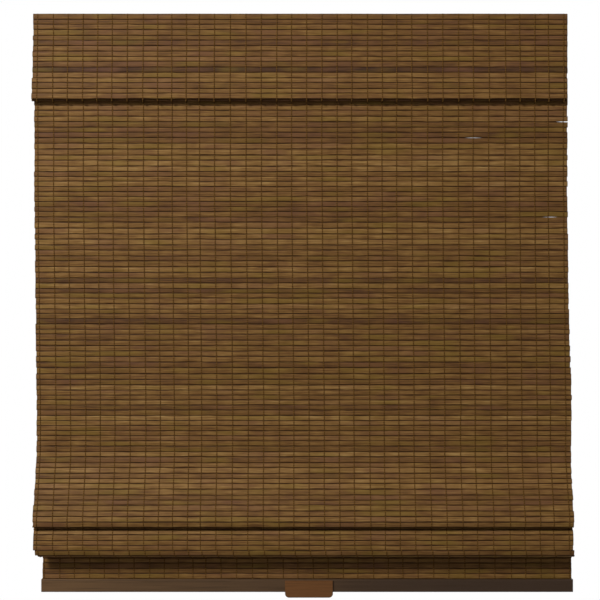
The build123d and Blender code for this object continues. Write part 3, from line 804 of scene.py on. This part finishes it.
    def slats(self, stretch: Stretch, finish: bpy.types.Material) -> bpy.types.Object:
        """Build the slats of one stretch.

        Args:
            stretch: the slats to build.
            finish: their material.

        Returns:
            The finished mesh object.
        """
        spots, turns, extents, acrosses, numbers, tones = [], [], [], [], [], []
        for slat in stretch.slats:
            (f0, d0), (f1, d1) = slat.upper, slat.lower
            width = math.dist(slat.upper, slat.lower)
            ahead, down = (f1 - f0) / width, (d1 - d0) / width
            spots.append(((slat.left + slat.right) / 2 * MM, (FRONT_Y - (f0 + f1) / 2) * MM,
                          (MAT_TOP_Z - (d0 + d1) / 2) * MM))
            turns.append(math.atan2(-ahead, down))
            extents += [(slat.right - slat.left) * MM, self.thickness * MM, (width + self.lap) * MM]
            acrosses += [0.0, ahead, down]
            numbers.append(float(slat.number))
            tones.append(slat.tone)
        thing = mesh_object(stretch.name + "_slats", spots)
        for name, kind, data, key in (
                ("turn", "FLOAT", turns, "value"), ("extent", "FLOAT_VECTOR", extents, "vector"),
                ("across", "FLOAT_VECTOR", acrosses, "vector"), ("slat", "FLOAT", numbers, "value"),
                ("tone", "FLOAT", tones, "value")):
            thing.data.attributes.new(name, kind, "POINT").data.foreach_set(key, data)
        self.run(thing, self.slat_tree, {
            "Segments": self.segments, "Sides": self.sides, "Wander": self.wander * MM,
            "Wander Scale": self.wander_scale, "Seed": self.seed, "Finish": finish})
        self.open_slits(thing, stretch)
        log.info("%s: %d slats", thing.name, len(stretch.slats))
        return thing

    def open_slits(self, thing: bpy.types.Object, stretch: Stretch) -> None:
        """Push the slats beside each slit apart, over the slit's length.

        Args:
            thing: the slats' mesh object.
            stretch: the slats it was made from.
        """
        top, bottom = stretch.slats[0].upper[1], stretch.slats[-1].lower[1]
        mine = [slit for slit in self.slits if top < slit.depth < bottom]
        count = len(thing.data.vertices)
        places, numbers = np.empty(count * 3), np.empty(count)
        thing.data.vertices.foreach_get("co", places)
        thing.data.attributes["slat"].data.foreach_get("value", numbers)
        places = places.reshape(-1, 3)
        for slit in mine:
            above = min(stretch.slats[:-1], key=lambda slat: abs(slat.lower[1] - slit.depth))
            level = MAT_TOP_Z - above.lower[1]
            along = (places[:, 0] / MM - slit.across) / (slit.length / 2)
            opened = np.clip(self.slit_fullness - np.abs(along) ** 3, 0, 1) * (slit.width + self.lap) / 2
            near = np.clip(1 - np.abs(places[:, 2] / MM - level) / self.slit_reach, 0, 1)
            # Neighbours overlap, so a vertex moves with its slat and not by its own height.
            side = np.where(numbers < above.number + 0.5, 1.0, -1.0)
            places[:, 2] += side * opened * near * MM
        thing.data.vertices.foreach_set("co", places.ravel())
        thing.data.update()

    def thread_line(self, stretch: Stretch, side: int) -> list[tuple[float, float, float]]:
        """Work out the line of one thread over the slats of a stretch.

        Args:
            stretch: the stretch to follow.
            side: 1 for the room side, -1 for the back.

        Returns:
            Points in metres.
        """
        points = []
        crown, dip = self.thickness / 2 + self.crown, self.dip
        along, lower = self.shoulder
        line, drift = stretch.line, stretch.drift
        for i, (a, b) in enumerate(zip(line, line[1:])):
            size = math.dist(a, b)
            u = ((b[0] - a[0]) / size, (b[1] - a[1]) / size)
            n = (u[1], -u[0])
            marks = [(0.0, dip), (along, crown - lower), (size / 2, crown), (size - along, crown - lower)]
            if size < self.shortest:
                marks = [(0.0, dip)]
            for s, h in marks:
                f = a[0] + u[0] * s + n[0] * h * side
                d = a[1] + u[1] * s + n[1] * h * side
                points.append((drift[i] * MM, (FRONT_Y - f) * MM, (MAT_TOP_Z - d) * MM))
        f, d = line[-1]
        points.append((drift[-1] * MM, (FRONT_Y - f - dip * side) * MM, (MAT_TOP_Z - d) * MM))
        return points

    def threads(self, stretch: Stretch, finish: bpy.types.Material) -> bpy.types.Object:
        """Build the warp threads of one stretch, on both faces.

        Args:
            stretch: the stretch to follow.
            finish: the thread's material.

        Returns:
            The finished mesh object.
        """
        spots, edges = [], []
        for side in (1, -1):
            line = self.thread_line(stretch, side)
            start = len(spots)
            spots += line
            edges += [(start + i, start + i + 1) for i in range(len(line) - 1)]
        return self.lay(stretch.name + "_threads", self.thread_places, spots, edges, {
            "Radius": self.thread_radius * MM, "Sides": self.thread_sides, "Wobble": self.wobble * MM,
            "Seed": self.thread_seed, "Finish": finish})

    def lay(self, name: str, places: Sequence[float], line: Sequence, edges: list[tuple[int, int]],
            values: dict[str, object]) -> bpy.types.Object:
        """Lay a round thread or cord along a line, once at each place across.

        Args:
            name: the piece's name.
            places: the places across, in mm.
            line: the line's points in metres, as if it hung at the middle.
            edges: the pairs of points that the line joins.
            values: the thread tree's other inputs.

        Returns:
            The finished mesh object.
        """
        guide = mesh_object(name + "_line", line, edges)
        thing = mesh_object(name, [(x * MM, 0, 0) for x in places])
        self.run(thing, self.thread_tree, {"Line": guide} | values)
        path = guide.data
        bpy.data.objects.remove(guide)
        bpy.data.meshes.remove(path)
        shade_smooth(thing)
        return thing

    def both(self, stretch: Stretch, finishes: Finishes) -> list[bpy.types.Object]:
        """Build the slats and the threads of one stretch."""
        return [self.slats(stretch, finishes.bamboo), self.threads(stretch, finishes.thread)]


@dataclass
class FrontMat:
    """The hung mat: flat part, two folds and the lower panel, cut only where it moves."""

    weave: Weave
    finishes: Finishes
    width: float = 914.0
    lower_width: float = 907.0
    pitch: float = 9.17
    # How uneven the slats' widths are, as a share of the pitch.
    unevenness: float = 0.11
    # Half the mat's thickness, and where its first slat starts.
    half: float = 1.2
    top: float = 0.6
    # Slats above ring row 1, and in the upper and the lower half of each pleat.
    counts: tuple[int, int, int] = (18, 10, 11)
    # How far to the right the folds and the lower panel hang, and the depths between which the
    # mat drifts there.
    drift_folds: float = 4.0
    drift_lower: float = 10.8
    drift_span: tuple[float, float] = (300.0, 660.0)
    # How much wider the mat is above fold 1, at what depth, and how far up and down that reaches.
    spread: float = 3.4
    spread_at: tuple[float, float] = (680.0, 120.0)
    # Joints of fold 2 over which it slides across to the lower panel's place and width.
    slide: tuple[int, int] = (12, 15)
    # The line for the upper half of a pleat to shut along, as its parts up and ahead;
    # the lower half mirrors it.
    pleat_rise: float = 74.66
    pleat_ahead: float = 34.0
    least_keep: float = 0.02
    # Depths below FOLD_TOP where fold 1 starts and where the lower panel starts and ends.
    fold_start: float = 11.0
    panel_top: float = 124.9
    panel_end: float = 242.6
    turn_steps: int = 6
    tone: float = 0.5
    tone_spread: float = 0.07
    # The mat is painted lighter downwards, to even out the key lamp's falloff: even at fade_from, lighter by
    # fade at twice that depth.
    fade: float = 0.03
    fade_from: float = 450.0
    # Tone swings slowly from slat to slat: how much, two lengths in mm, and their offset.
    swing: tuple[float, float, float, float] = (0.02, 23.0, 61.0, 1.3)
    # How much darker a dark slat is, and what share of the slats is dark.
    dark: tuple[float, float] = (0.17, 0.04)
    # How far a slat's end may stand out, and how far it may fall short, in mm.
    ends: tuple[float, float] = (0.8, 0.6)
    seed: int = 41
    first_number: int = 0
    fold_1: tuple[Point, ...] = (
        (1.5, 30.2), (8.5, 51.2), (20, 81.9), (32, 113.5), (37.2, 127.5), (38.2, 135.5), (36.2, 139.6),
        (31, 138.8), (26, 133.2), (14, 104.9), (5.0, 82.9), (3.4, 68.5))
    fold_2: tuple[Point, ...] = (
        (-1.2, 68.5), (0.2, 81.2), (10.4, 107.4), (20.6, 133.7), (25.2, 142.9), (30.4, 149.9), (33.2, 157.1),
        (33.9, 166.2), (33.8, 176.6), (32.6, 184.2), (28.4, 189.8), (22, 191.2), (16.6, 187), (10, 169.7),
        (4.4, 145.4), (3.4, 124.9))

    def __post_init__(self) -> None:
        """Start the even draws of slat tones and ends, and set out the three runs."""
        self.draw = random.Random(self.seed)
        self.number = self.first_number
        flat = [(-self.half, depth)
                for depth in (self.top, FOLD_TOP / 2, FOLD_TOP, FOLD_TOP + self.fold_start)]
        self.upper_run = flat + [(f, FOLD_TOP + d) for f, d in self.fold_1]
        self.middle_run = [(f, FOLD_TOP + d) for f, d in self.fold_2]
        self.lower_run = [(-self.half, FOLD_TOP + d) for d in (self.panel_top, self.panel_end)]

    def marks(self, run: Sequence[Point], start: float, end: float, count: int) -> list[Point]:
        """Cut part of a run into slats of slightly uneven width.

        Args:
            run: the run's points.
            start: path length at which the part starts, in mm.
            end: path length at which it ends, or infinity for the run's end.
            count: how many slats it takes.

        Returns:
            The joints between slats, both ends among them.
        """
        curve = np.array(smooth_curve(run))
        lengths = np.concatenate([[0], np.cumsum(np.hypot(*np.diff(curve, axis=0).T))])
        end = min(end, lengths[-1])
        pitch = (end - start) / count
        inner = [k + self.draw.uniform(-self.unevenness, self.unevenness) for k in range(1, count)]
        goals = [start + pitch * k for k in (0, *inner, count)]
        return [(float(np.interp(g, lengths, curve[:, 0])), float(np.interp(g, lengths, curve[:, 1])))
                for g in goals]

    def fold_marks(self, run: Sequence[Point], start: float) -> list[Point]:
        """Cut a folded part into slats, with a joint at its lowest point.

        Args:
            run: the run's points.
            start: path length at which the folded part starts, in mm.

        Returns:
            The joints between slats.
        """
        low = max(range(len(run)), key=lambda i: run[i][1])
        bend, end = self.length(run[:low + 1]), self.length(run)
        down = self.marks(run, start, bend, round((bend - start) / self.pitch))
        return down + self.marks(run, bend, end, round((end - bend) / self.pitch))[1:]

    @staticmethod
    def length(run: Sequence[Point]) -> float:
        """Give a run's path length in mm."""
        curve = np.array(smooth_curve(run))
        return float(np.sum(np.hypot(*np.diff(curve, axis=0).T)))

    def slat_list(self, line: list[Point], drifts: list[float], widths: list[float]) -> list[Slat]:
        """Make the slats between joints, with their own tones and ends.

        Args:
            line: the joints.
            drifts: each joint's place across.
            widths: how wide the mat is at each joint.

        Returns:
            The slats, numbered on from the last ones.
        """
        slats = []
        swing, short, long, offset = self.swing
        darker, share = self.dark
        out_by, in_by = self.ends
        for i, (a, b) in enumerate(zip(line, line[1:])):
            depth = (a[1] + b[1]) / 2
            # The fade term is painted light that evens out the key lamp's falloff down the mat.
            band = (swing * math.sin(depth / short) * math.sin(depth / long + offset)
                    + self.fade * (depth - self.fade_from) / self.fade_from)
            tone = self.draw.gauss(self.tone, self.tone_spread) + band
            tone -= darker if self.draw.random() < share else 0.0
            left = drifts[i] - widths[i] / 2 + self.draw.uniform(-out_by, in_by)
            right = drifts[i] + widths[i] / 2 + self.draw.uniform(-in_by, out_by)
            slats.append(Slat(a, b, left, right, tone, self.number))
            self.number += 1
        return slats

    def body_drift(self, depth: float) -> float:
        """Give how far to the right the upper run lies at a depth."""
        start, end = self.drift_span
        return self.drift_folds * min(max((depth - start) / (end - start), 0), 1)

    def stretches(self) -> list[Stretch]:
        """Work out the stretches from the top of the mat to the rail.

        Returns:
            The stretches in order.
        """
        top = self.top
        above, upper_count, lower_count = self.counts
        line = self.marks(self.upper_run, 0.0, ROW_DEPTHS[0] - top, above)
        made = [self.flat("mat_top", "headrail", line)]
        bodies = ("headrail", "ring_row_1", "ring_row_2", "bottom_rail")
        for row in range(len(ROW_DEPTHS) - 1):
            upper, lower = ROW_DEPTHS[row], ROW_DEPTHS[row + 1]
            middle = (upper + lower) / 2
            line = self.marks(self.upper_run, upper - top, middle - top, upper_count)
            made.append(self.flat(f"mat_row_{row + 1}_upper", bodies[row], line, upper, 1.0))
            line = self.marks(self.upper_run, middle - top, lower - top, lower_count)
            made.append(self.flat(f"mat_row_{row + 1}_lower", bodies[row + 1], line, lower, -1.0))
        line = self.fold_marks(self.upper_run, ROW_DEPTHS[3] - top)
        made.append(self.flat("mat_fold_1", "bottom_rail", line))
        line = self.fold_marks(self.middle_run, 0.0)
        turn = self.turn(self.upper_run[-1], line[0])
        first, last = self.slide
        shares = [min(max((i - first) / (last - first), 0), 1) for i in range(len(line))]
        drifts = [self.drift_folds + s * (self.drift_lower - self.drift_folds) for s in shares]
        widths = [self.width + s * (self.lower_width - self.width) for s in shares]
        slats = self.slat_list(line, drifts, widths)
        made.append(Stretch("mat_fold_2", "bottom_rail", slats, turn + line,
                            [self.drift_folds] * len(turn) + drifts))
        line = self.marks(self.lower_run, 0.0, math.inf, round(self.length(self.lower_run) / self.pitch))
        turn = self.turn(self.middle_run[-1], line[0])
        slats = self.slat_list(line, [self.drift_lower] * len(line), [self.lower_width] * len(line))
        made.append(Stretch("mat_lower_panel", "bottom_rail", slats, turn + line,
                            [self.drift_lower] * (len(turn) + len(line))))
        return made

    def flat(self, name: str, body: str, line: list[Point], fixed: float | None = None,
             way: float = 0.0) -> Stretch:
        """Make a stretch of the upper run.

        Args:
            name: the stretch's name.
            body: the body it rides on.
            line: its joints.
            fixed: depth of the ring row that holds it, if it is half a pleat.
            way: 1 for the upper half of a pleat, -1 for the lower one.

        Returns:
            The stretch.
        """
        centre, reach = self.spread_at
        drifts = [self.body_drift(joint[1]) for joint in line]
        spreads = [self.spread * math.exp(-((joint[1] - centre) / reach) ** 2) for joint in line]
        slats = self.slat_list(line, [d + w / 2 for d, w in zip(drifts, spreads)],
                               [self.width + w for w in spreads])
        anchor = None if fixed is None else (-self.half, fixed)
        return Stretch(name, body, slats, line, drifts, anchor, way)

    def turn(self, a: Point, b: Point) -> list[Point]:
        """Work out a tight turn over the top, from one run to the next.

        Args:
            a: where it starts.
            b: where it ends.

        Returns:
            Its points, the start among them and the end not.
        """
        middle = ((a[0] + b[0]) / 2, (a[1] + b[1]) / 2)
        radius = math.dist(a, b) / 2
        return [(middle[0] + radius * math.cos(t), middle[1] - radius * math.sin(t))
                for t in (math.pi * k / self.turn_steps for k in range(self.turn_steps))]

    def build(self) -> None:
        """Build, dress and attach every stretch."""
        for stretch in self.stretches():
            for piece in self.weave.both(stretch, self.finishes):
                attach(piece, stretch.body, "shade_mat")
                if stretch.squash_at:
                    self.fold(piece)

    def fold(self, piece: bpy.types.Object) -> None:
        """Let a half pleat fold forward and shut as the shade goes up.

        Args:
            piece: the slats or threads of a half pleat.
        """
        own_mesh(piece)


@dataclass
class Valance:
    """The short mat ahead of the headrail, its lower end turned back as a hem."""

    weave: Weave
    finishes: Finishes
    width: float = 914.5
    # How far across its top and its lower end hang.
    lean: tuple[float, float] = (-0.8, -2.4)
    # Slats in its front and in its hem.
    counts: tuple[int, int] = (16, 3)
    # Darker than the mat: painted shade that offsets the extra key light on the valance near the lamp.
    tone: float = 0.43
    seed: int = 77
    first_number: int = 400
    front_run: tuple[Point, ...] = ((1.4, 0), (1.4, 16), (2.8, 50), (5.6, 90), (8.9, 129), (10.6, 147))
    hem_run: tuple[Point, ...] = ((6.4, 150.4), (5.2, 139), (4.2, 123))

    def build(self) -> None:
        """Build, dress and attach the valance."""
        maker = FrontMat(self.weave, self.finishes, tone=self.tone, seed=self.seed,
                         first_number=self.first_number)
        line, hem = [maker.marks(run, 0.0, math.inf, count)
                     for run, count in zip((self.front_run, self.hem_run), self.counts)]
        (f0, d0), (f1, d1) = line[-1], hem[0]
        half_f, half_d = (f0 - f1) / 2, (d0 - d1) / 2
        turn = [((f0 + f1) / 2 + half_f * math.cos(t) - half_d * math.sin(t),
                 (d0 + d1) / 2 + half_d * math.cos(t) + half_f * math.sin(t))
                for t in (math.pi * k / maker.turn_steps for k in range(1, maker.turn_steps))]
        drifts = list(np.linspace(*self.lean, len(line)))
        slats = maker.slat_list(line, drifts, [self.width] * len(line))
        slats += maker.slat_list(hem, [self.lean[1]] * len(hem), [self.width] * len(hem))
        whole = line + turn + hem
        stretch = Stretch("valance", "headrail", slats, whole, [0.0] * len(whole))
        for piece in self.weave.both(stretch, self.finishes):
            attach(piece, stretch.body, "valance")


# Lift cords

@dataclass
class LiftCords:
    """The cords behind the mat: turns on the spool, a run through the rings, a knot at the rail."""

    weave: Weave
    finish: bpy.types.Material
    names: tuple[str, ...] = ("lift_cord_left", "lift_cord_middle", "lift_cord_right")
    # Heights of the run's points, from the spool to the knot.
    stops: tuple[float, ...] = (0.0, -6.0, -60.0, -300.0, -600.0, -900.0, KNOT_Z)
    turns: float = 2.85
    turn_steps: int = 28
    # How far apart two turns lie.
    lay: float = 1.42
    # The knot's cord is drawn in tight, so it is a little thinner.
    knot_size: float = 0.42
    knot_cord: float = 0.58
    knot_steps: int = 60
    sides: int = 10

    def tube(self, name: str, x: float, line: list[Vector], radius: float,
             closed: bool = False) -> bpy.types.Object:
        """Make a round cord along a line with the thread tree.

        Args:
            name: the piece's name.
            x: how far across the shade it hangs, in mm.
            line: its points in metres, as if it hung at the middle.
            radius: the cord's radius in mm.
            closed: whether the line's ends meet.

        Returns:
            The cord's mesh object.
        """
        edges = [(i, i + 1) for i in range(len(line) - 1)] + ([(len(line) - 1, 0)] if closed else [])
        return self.weave.lay(name, [x], line, edges, {
            "Radius": radius * MM, "Sides": self.sides, "Wobble": 0.0, "Seed": 0.0, "Finish": self.finish})

    def route(self) -> list[Vector]:
        """Read the run's line from its smooth spline.

        Returns:
            Points in metres, from the spool down to the knot.
        """
        data = bpy.data.curves.new("cord_route", "CURVE")
        data.dimensions = "3D"
        spline = data.splines.new("NURBS")
        spline.points.add(len(self.stops) - 1)
        for point, z in zip(spline.points, self.stops):
            point.co = (0.0, CORD_Y * MM, z * MM, 1.0)
        spline.order_u = 3
        spline.use_endpoint_u = True
        thing = bpy.data.objects.new("cord_route", data)
        mesh = bpy.data.meshes.new_from_object(thing)
        points = [vertex.co.copy() for vertex in mesh.vertices]
        bpy.data.objects.remove(thing)
        bpy.data.curves.remove(data)
        bpy.data.meshes.remove(mesh)
        return points

    def winding(self) -> list[Vector]:
        """Work out the turns that lie side by side on the spool.

        Returns:
            Points in metres.
        """
        radius = SPOOL_R + CORD_R
        count = round(self.turns * self.turn_steps)
        angles = [2 * math.pi * self.turns * i / count for i in range(count + 1)]
        return [Vector((self.lay * (a / 2 / math.pi - self.turns / 2), SHAFT_Y - radius * math.cos(a),
                        radius * math.sin(a))) * MM for a in angles]

    def knot(self) -> list[Vector]:
        """Work out an overhand knot, pulled tight.

        Returns:
            Points of a closed line, in metres.
        """
        size = self.knot_size
        angles = [2 * math.pi * i / self.knot_steps for i in range(self.knot_steps)]
        return [Vector((size * (math.sin(a) + 2 * math.sin(2 * a)),
                        CORD_Y + size * (math.cos(a) - 2 * math.cos(2 * a)),
                        KNOT_Z - size * math.sin(3 * a))) * MM for a in angles]

    def build(self) -> None:
        """Build the three cords: turns on the shaft, a run on the headrail and a knot on the rail."""
        route = self.route()
        for name, x in zip(self.names, COLUMN_X):
            pieces = {"headrail": self.tube(name + "_run", x, route, CORD_R),
                      "bottom_rail": self.tube(name + "_knot", x, self.knot(), self.knot_cord, True),
                      "lift_shaft": self.tube(name + "_turns", x, self.winding(), CORD_R)}
            for body, piece in pieces.items():
                attach(piece, body, name)
            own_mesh(pieces["headrail"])


# Studio

@dataclass
class Studio:
    """Pale floor, soft lights and the photograph's camera."""

    # The photograph's scale in mm a pixel, and half its width in pixels.
    pixel: float = 1.715
    half_picture: int = 300
    distance: float = 2500.0
    centre_x: float = -1.4
    centre_depth: float = 490.5
    fill: float = 0.05
    lamp_size: float = 0.8
    # Each lamp's name, place and aim in metres, and power in watts.
    lamps: tuple = (
        ("key", (-1.9, -2.6, 1.6), (0.0, 0.0, -0.5), 114.0),
        ("right", (1.7, -2.6, 1.3), (0.2, 0.0, -0.6), 4.0),
        ("back", (0.9, 2.6, 0.9), (0.0, 0.0, -0.5), 60.0))
    floor_z: float = -1.45
    floor_half: float = 4.0
    floor_colour: str = "#a3a19e"
    floor_roughness: float = 0.9
    # The floor's distances in metres where its fade starts and ends, and how white it starts.
    floor_fade: tuple[float, float, float] = (1.3, 1.7, 0.72)

    def build(self) -> None:
        """Build everything that isn't part of the shade."""
        self.camera()
        self.world()
        self.floor()
        for name, place, aim, power in self.lamps:
            self.lamp(name, place, aim, power)

    def camera(self) -> None:
        """Put the camera where the photograph was taken from."""
        data = bpy.data.cameras.new("camera")
        data.sensor_fit = "HORIZONTAL"
        data.angle = 2 * math.atan(self.half_picture * self.pixel / self.distance)
        data.clip_end = 50
        thing = bpy.data.objects.new("camera", data)
        thing.location = (self.centre_x * MM, (FRONT_Y - self.distance) * MM,
                          (MAT_TOP_Z - self.centre_depth) * MM)
        thing.rotation_euler = (math.pi / 2, 0, 0)
        bpy.context.scene.collection.objects.link(thing)
        bpy.context.scene.camera = thing

    def world(self) -> None:
        """Light evenly from all round, white where the camera looks."""
        world = bpy.data.worlds.new("studio")
        world.use_nodes = True
        tree = world.node_tree
        soft = tree.nodes["Background"]
        feed(tree, soft, {"Color": (1, 1, 1, 1), "Strength": self.fill})
        white = add(tree, "ShaderNodeBackground", {"Color": (1, 1, 1, 1), "Strength": 1.0})
        rays = add(tree, "ShaderNodeLightPath")
        seen = add(tree, "ShaderNodeMath", {
            0: out(rays, "Is Camera Ray"), 1: out(rays, "Is Glossy Ray")}, operation="MAXIMUM")
        through = add(tree, "ShaderNodeMath", {
            0: seen, 1: out(rays, "Is Transmission Ray")}, operation="MAXIMUM")
        feed(tree, tree.nodes["World Output"], {
            "Surface": add(tree, "ShaderNodeMixShader", {0: through, 1: soft, 2: white})})
        bpy.context.scene.world = world

    def floor(self) -> None:
        """Lay the pale floor that keeps the shade's shadow."""
        size, z = self.floor_half, self.floor_z
        corners = ((-size, -size, z), (size, -size, z), (size, size, z), (-size, size, z))
        thing = mesh_object("floor", corners, faces=[(0, 1, 2, 3)])
        material, tree, shader = new_material("matt_painted_floor")
        feed(tree, shader, {"Base Color": linear(self.floor_colour), "Roughness": self.floor_roughness})
        # To the eye: a pale matt floor that fades into the white backdrop within a metre of the shade.
        start, end, least = self.floor_fade
        away = add(tree, "ShaderNodeVectorMath", {0: out(add(tree, "ShaderNodeTexCoord"), "Object")},
                   operation="LENGTH")
        fade = add(tree, "ShaderNodeMapRange", {
            "Value": out(away, "Value"), "From Min": start, "From Max": end, "To Min": least, "To Max": 1.0})
        seen = out(add(tree, "ShaderNodeLightPath"), "Is Camera Ray")
        feed(tree, tree.nodes["Material Output"], {
            "Surface": add(tree, "ShaderNodeMixShader", {
                0: add(tree, "ShaderNodeMath", {0: seen, 1: fade}, operation="MULTIPLY"), 1: shader,
                2: add(tree, "ShaderNodeEmission", {"Color": (1, 1, 1, 1), "Strength": 1.0})})})
        thing.data.materials.append(material)

    def lamp(self, name: str, place: tuple[float, float, float], aim: tuple[float, float, float],
             power: float) -> None:
        """Hang one soft square lamp.

        Args:
            name: the lamp's name.
            place: where it hangs, in metres.
            aim: what it points at.
            power: its power in watts.
        """
        data = bpy.data.lights.new(name, "AREA")
        data.size = self.lamp_size
        data.energy = power
        thing = bpy.data.objects.new(name, data)
        thing.location = place
        thing.rotation_euler = (Vector(aim) - Vector(place)).to_track_quat("-Z", "Y").to_euler()
        bpy.context.scene.collection.objects.link(thing)


# Hardware

@dataclass
class Hardware:
    """Rail, tab, rings and headrail, whose solids keep their shape and get their finishes."""

    finishes: Finishes

    def build(self) -> None:
        """Dress every node but the mat and the valance by its material slot."""
        finishes = self.finishes
        slots = {"rail": finishes.rail, "tab": finishes.tab, "channel": finishes.channel,
                 "cap": finishes.plastic, "plastic": finishes.plastic, "ring": finishes.ring,
                 "cord": finishes.cord, "tape": finishes.tape, "steel": finishes.steel,
                 "bracket": finishes.steel}
        for part in frame["record"]["subparts"]:
            finish = slots.get(part["material_slot"])
            if finish is None:
                continue
            thing = frame["nodes"][part["node"]]
            for piece in (thing, *thing.children_recursive):
                if piece.type == "MESH":
                    piece.data.materials.clear()
                    piece.data.materials.append(finish)
            log.info("%s: %s", part["node"], finish.name)


def main() -> None:
    """Build the studio and the shade."""
    logging.basicConfig(level=logging.INFO, format="%(message)s")
    bpy.context.scene.view_settings.view_transform = "Standard"
    Studio().build()
    finishes = Finishes()
    weave = Weave()
    LiftCords(weave, finishes.cord).build()
    FrontMat(weave, finishes).build()
    Valance(weave, finishes).build()
    Hardware(finishes).build()


if __name__ == "__main__":
    main()
